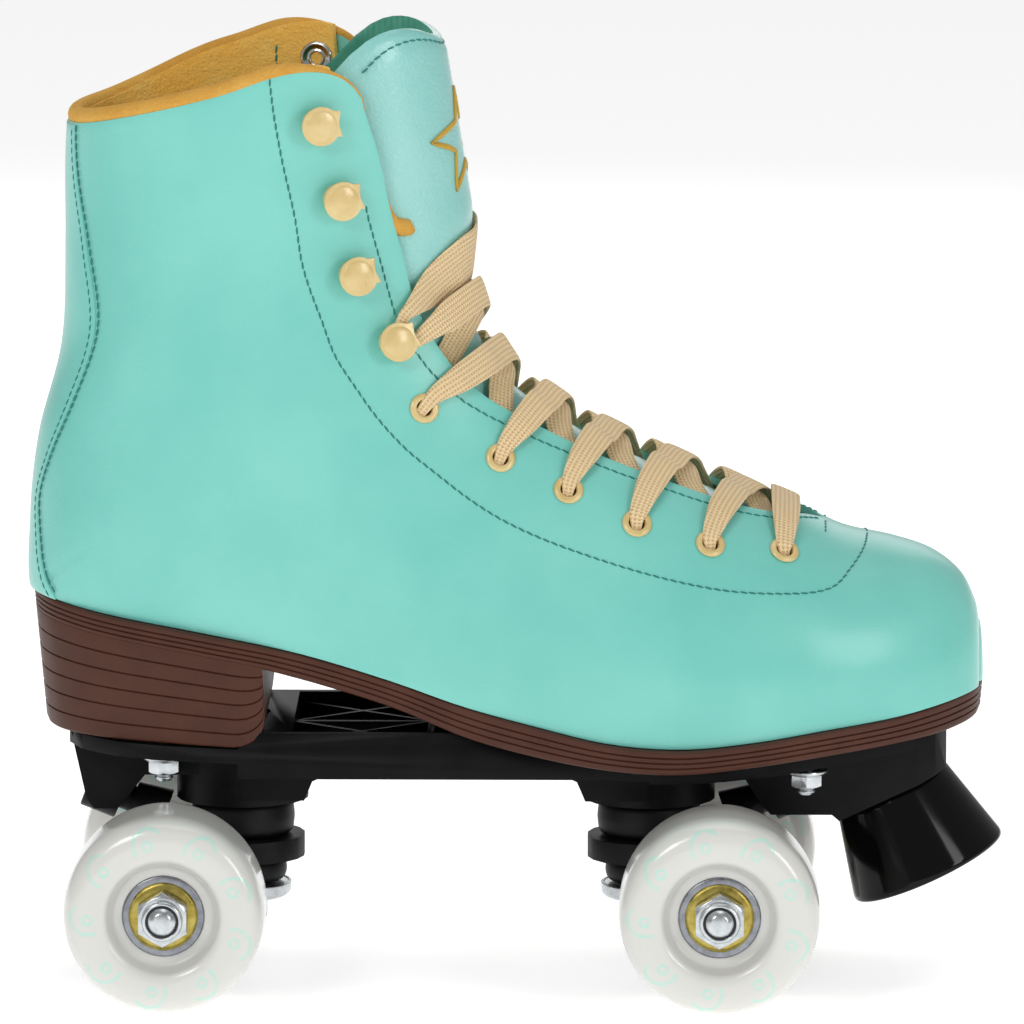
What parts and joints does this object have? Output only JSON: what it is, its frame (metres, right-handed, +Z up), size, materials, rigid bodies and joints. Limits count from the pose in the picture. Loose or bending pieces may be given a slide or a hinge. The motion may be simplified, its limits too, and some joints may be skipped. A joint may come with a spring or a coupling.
{
  "type": "quad roller skate",
  "caption": "Laced high-top quad roller skate: padded boot, heeled sole, moulded plate, two sprung trucks, four wheels on ball bearings and a front toe stop.",
  "frame": {"origin": "centre of the object's box on the floor the wheels stand on", "axes": "+X towards the toe, -Y towards the wearer's outer side, +Z up"},
  "size_m": [0.265, 0.136, 0.2615],
  "materials": {
    "upper": "smooth coated synthetic leather, satin with a pearl sheen",
    "tongue": "fine-grained synthetic leather over padding",
    "lining": "brushed fleece",
    "footbed": "fleece-faced foam",
    "sole": "moulded, matt, grooved edge",
    "plate": "moulded nylon, satin",
    "hanger": "black powder coat",
    "cushion": "moulded urethane, satin",
    "toe_stop": "moulded, glossy",
    "wheel": "cast urethane, glossy",
    "zinc": "zinc plated, bright",
    "bearing": "ground steel",
    "lace": "flat woven cotton"
  },
  "bodies": {
    "boot": {"sole_plate": "plate", "toe_stop": "toe_stop", "toe_stop_bolt": "zinc", "sole_unit": "sole", "boot_upper": "upper", "boot_lining": "lining", "tongue": "tongue", "footbed": "footbed", "lace": "lace", "deck_bolt_rear_outer": "zinc", "deck_nut_rear_outer": "zinc", "deck_bolt_rear_inner": "zinc", "deck_nut_rear_inner": "zinc", "kingpin_rear": "zinc", "cushion_upper_rear": "cushion", "cushion_lower_rear": "cushion", "cup_washer_rear": "zinc", "kingpin_nut_rear": "zinc", "pivot_cup_rear": "cushion", "deck_bolt_front_outer": "zinc", "deck_nut_front_outer": "zinc", "deck_bolt_front_inner": "zinc", "deck_nut_front_inner": "zinc", "kingpin_front": "zinc", "cushion_upper_front": "cushion", "cushion_lower_front": "cushion", "cup_washer_front": "zinc", "kingpin_nut_front": "zinc", "pivot_cup_front": "cushion"},
    "rear_truck": {"truck_hanger_rear": "hanger", "axle_rear": "zinc", "axle_nut_rear_outer": "zinc", "bearing_core_rear_outer_outside": "bearing", "bearing_core_rear_outer_inside": "bearing", "axle_nut_rear_inner": "zinc", "bearing_core_rear_inner_outside": "bearing", "bearing_core_rear_inner_inside": "bearing"},
    "front_truck": {"truck_hanger_front": "hanger", "axle_front": "zinc", "axle_nut_front_outer": "zinc", "bearing_core_front_outer_outside": "bearing", "bearing_core_front_outer_inside": "bearing", "axle_nut_front_inner": "zinc", "bearing_core_front_inner_outside": "bearing", "bearing_core_front_inner_inside": "bearing"},
    "rear_outer_wheel": {"wheel_rear_outer": "wheel", "bearing_race_rear_outer_outside": "bearing", "bearing_race_rear_outer_inside": "bearing"},
    "rear_inner_wheel": {"wheel_rear_inner": "wheel", "bearing_race_rear_inner_outside": "bearing", "bearing_race_rear_inner_inside": "bearing"},
    "front_outer_wheel": {"wheel_front_outer": "wheel", "bearing_race_front_outer_outside": "bearing", "bearing_race_front_outer_inside": "bearing"},
    "front_inner_wheel": {"wheel_front_inner": "wheel", "bearing_race_front_inner_outside": "bearing", "bearing_race_front_inner_inside": "bearing"}
  },
  "joints": [
    {"name": "rear_steer", "type": "hinge", "parent": "boot", "child": "rear_truck", "pos_m": [-0.07371, 0, 0.03545], "axis": [-0.9276, 0, 0.3736], "range_deg": [-8, 8], "stiffness_Nm_per_rad": 20, "deforming": ["cushion_upper_rear", "cushion_lower_rear"]},
    {"name": "front_steer", "type": "hinge", "parent": "boot", "child": "front_truck", "pos_m": [0.03729, 0, 0.03545], "axis": [0.9276, 0, 0.3736], "range_deg": [-8, 8], "stiffness_Nm_per_rad": 20, "deforming": ["cushion_upper_front", "cushion_lower_front"]},
    {"name": "rear_outer_wheel_spin", "type": "hinge", "parent": "rear_truck", "child": "rear_outer_wheel", "pos_m": [-0.09271, -0.047, 0.027], "axis": [0, 1, 0], "continuous": true},
    {"name": "rear_inner_wheel_spin", "type": "hinge", "parent": "rear_truck", "child": "rear_inner_wheel", "pos_m": [-0.09271, 0.047, 0.027], "axis": [0, 1, 0], "continuous": true},
    {"name": "front_outer_wheel_spin", "type": "hinge", "parent": "front_truck", "child": "front_outer_wheel", "pos_m": [0.05629, -0.047, 0.027], "axis": [0, 1, 0], "continuous": true},
    {"name": "front_inner_wheel_spin", "type": "hinge", "parent": "front_truck", "child": "front_inner_wheel", "pos_m": [0.05629, 0.047, 0.027], "axis": [0, 1, 0], "continuous": true}
  ]
}
